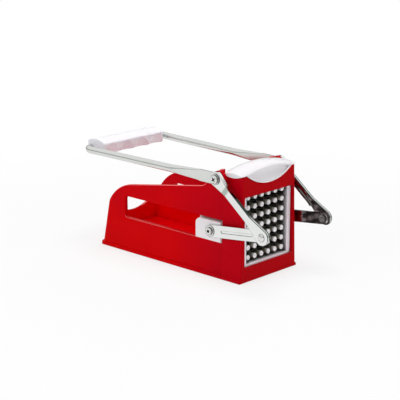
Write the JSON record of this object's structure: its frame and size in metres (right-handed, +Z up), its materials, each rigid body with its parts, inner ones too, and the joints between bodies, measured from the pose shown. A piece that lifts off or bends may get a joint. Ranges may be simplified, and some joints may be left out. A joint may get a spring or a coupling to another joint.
{
  "type": "french fry cutter",
  "caption": "Hand-lever french fry cutter: a moulded trough with a peg pusher, a lift-out blade cassette and a bail handle on cranks and links.",
  "frame": {"origin": "centre of the footprint's bounding box, on the table under the feet, with the handle down", "axes": "+X out of the housing's front, where the chips leave; +Y to the left; +Z up"},
  "size_m": [0.2664, 0.1158, 0.1204],
  "materials": {
    "red_plastic": "high-gloss moulded red ABS",
    "white_plastic": "gloss white moulded plastic",
    "grip_plastic": "satin-gloss white moulded plastic",
    "blade_steel": "ground stainless blade steel",
    "bright_steel": "bright zinc and chrome plated steel",
    "plated_steel": "plated steel fasteners",
    "brass": "turned brass",
    "foot_rubber": "matt black rubber"
  },
  "bodies": {
    "root": {"trough_body": "red_plastic", "blade_frame": "white_plastic", "blade_cap": "white_plastic", "upright_blade_1": "blade_steel", "upright_blade_2": "blade_steel", "upright_blade_3": "blade_steel", "upright_blade_4": "blade_steel", "upright_blade_5": "blade_steel", "level_blade_1": "blade_steel", "level_blade_2": "blade_steel", "level_blade_3": "blade_steel", "level_blade_4": "blade_steel", "level_blade_5": "blade_steel", "level_blade_6": "blade_steel", "pivot_screws": "plated_steel", "pivot_washers": "plated_steel", "pivot_nuts": "plated_steel", "rubber_feet": "foot_rubber"},
    "handle": {"handle_tube": "bright_steel", "handle_grip": "grip_plastic", "crank_left": "bright_steel", "crank_right": "bright_steel", "crank_rivets": "plated_steel"},
    "link_left": {"link_left": "bright_steel", "link_bolt_left": "plated_steel"},
    "link_right": {"link_right": "bright_steel", "link_bolt_right": "plated_steel"},
    "pusher": {"pusher": "white_plastic", "slider_shoe_left": "white_plastic", "slider_shoe_right": "white_plastic", "shoe_inserts": "brass", "shoe_screws": "plated_steel"}
  },
  "joints": [
    {"name": "handle_lift", "type": "hinge", "parent": "root", "child": "handle", "pos_m": [0.06391, 0, 0.1071], "axis": [0, 1, 0], "range_deg": [0, 85.7]},
    {"name": "link_left_pivot", "type": "hinge", "parent": "handle", "child": "link_left", "pos_m": [0.12521, 0.0466, 0.0584], "axis": [0, 1, 0], "range_deg": [-73.08, 0]},
    {"name": "link_right_pivot", "type": "hinge", "parent": "handle", "child": "link_right", "pos_m": [0.12521, -0.0466, 0.0584], "axis": [0, 1, 0], "range_deg": [-73.08, 0]},
    {"name": "pusher_slide", "type": "slide", "parent": "root", "child": "pusher", "axis": [-1, 0, 0], "range_m": [0, 0.1053]}
  ],
  "couplings": [
    {"joint": "link_left_pivot", "follows": "handle_lift", "ratio": -0.85275},
    {"joint": "link_right_pivot", "follows": "handle_lift", "ratio": -0.85275},
    {"joint": "pusher_slide", "follows": "handle_lift", "m_per_rad": 0.070401}
  ]
}
